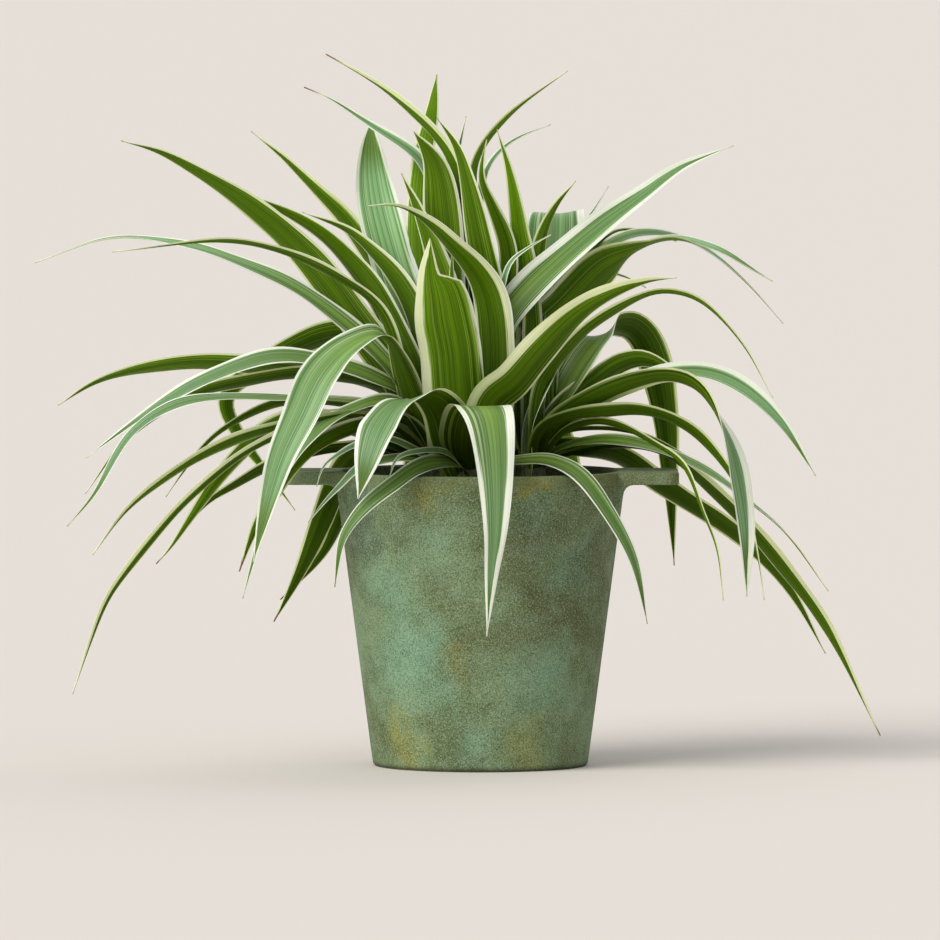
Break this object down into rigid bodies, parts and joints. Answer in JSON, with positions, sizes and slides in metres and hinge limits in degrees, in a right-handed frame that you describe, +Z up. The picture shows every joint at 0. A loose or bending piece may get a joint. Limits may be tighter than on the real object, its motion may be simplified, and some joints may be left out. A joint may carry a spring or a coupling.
{
  "type": "potted spider plant",
  "caption": "Variegated spider plant: arching, pointed strap leaves with pale margins, in a tapered verdigris-green pot with two flat lug handles.",
  "frame": {"origin": "centre of the pot's flat foot", "axes": "+Z up, -Y towards the front, X along the line of the two lugs"},
  "size_m": [0.4078, 0.2475, 0.3414],
  "materials": {
    "pot": "matte verdigris patina with turquoise and ochre clouds",
    "potting_mix": "dark crumbly potting mix",
    "leaves_left": "satin leaf, green with cream margins",
    "leaves_middle": "satin leaf, green with cream margins",
    "leaves_right": "satin leaf, green with cream margins",
    "leaves_front": "satin leaf, green with cream margins",
    "leaves_back": "satin leaf, green with cream margins"
  },
  "bodies": {
    "root": {"pot": "pot", "potting_mix": "potting_mix", "crown_left": "leaves_left", "crown_middle": "leaves_middle", "crown_right": "leaves_right", "crown_front": "leaves_front", "crown_back": "leaves_back"}
  },
  "joints": []
}
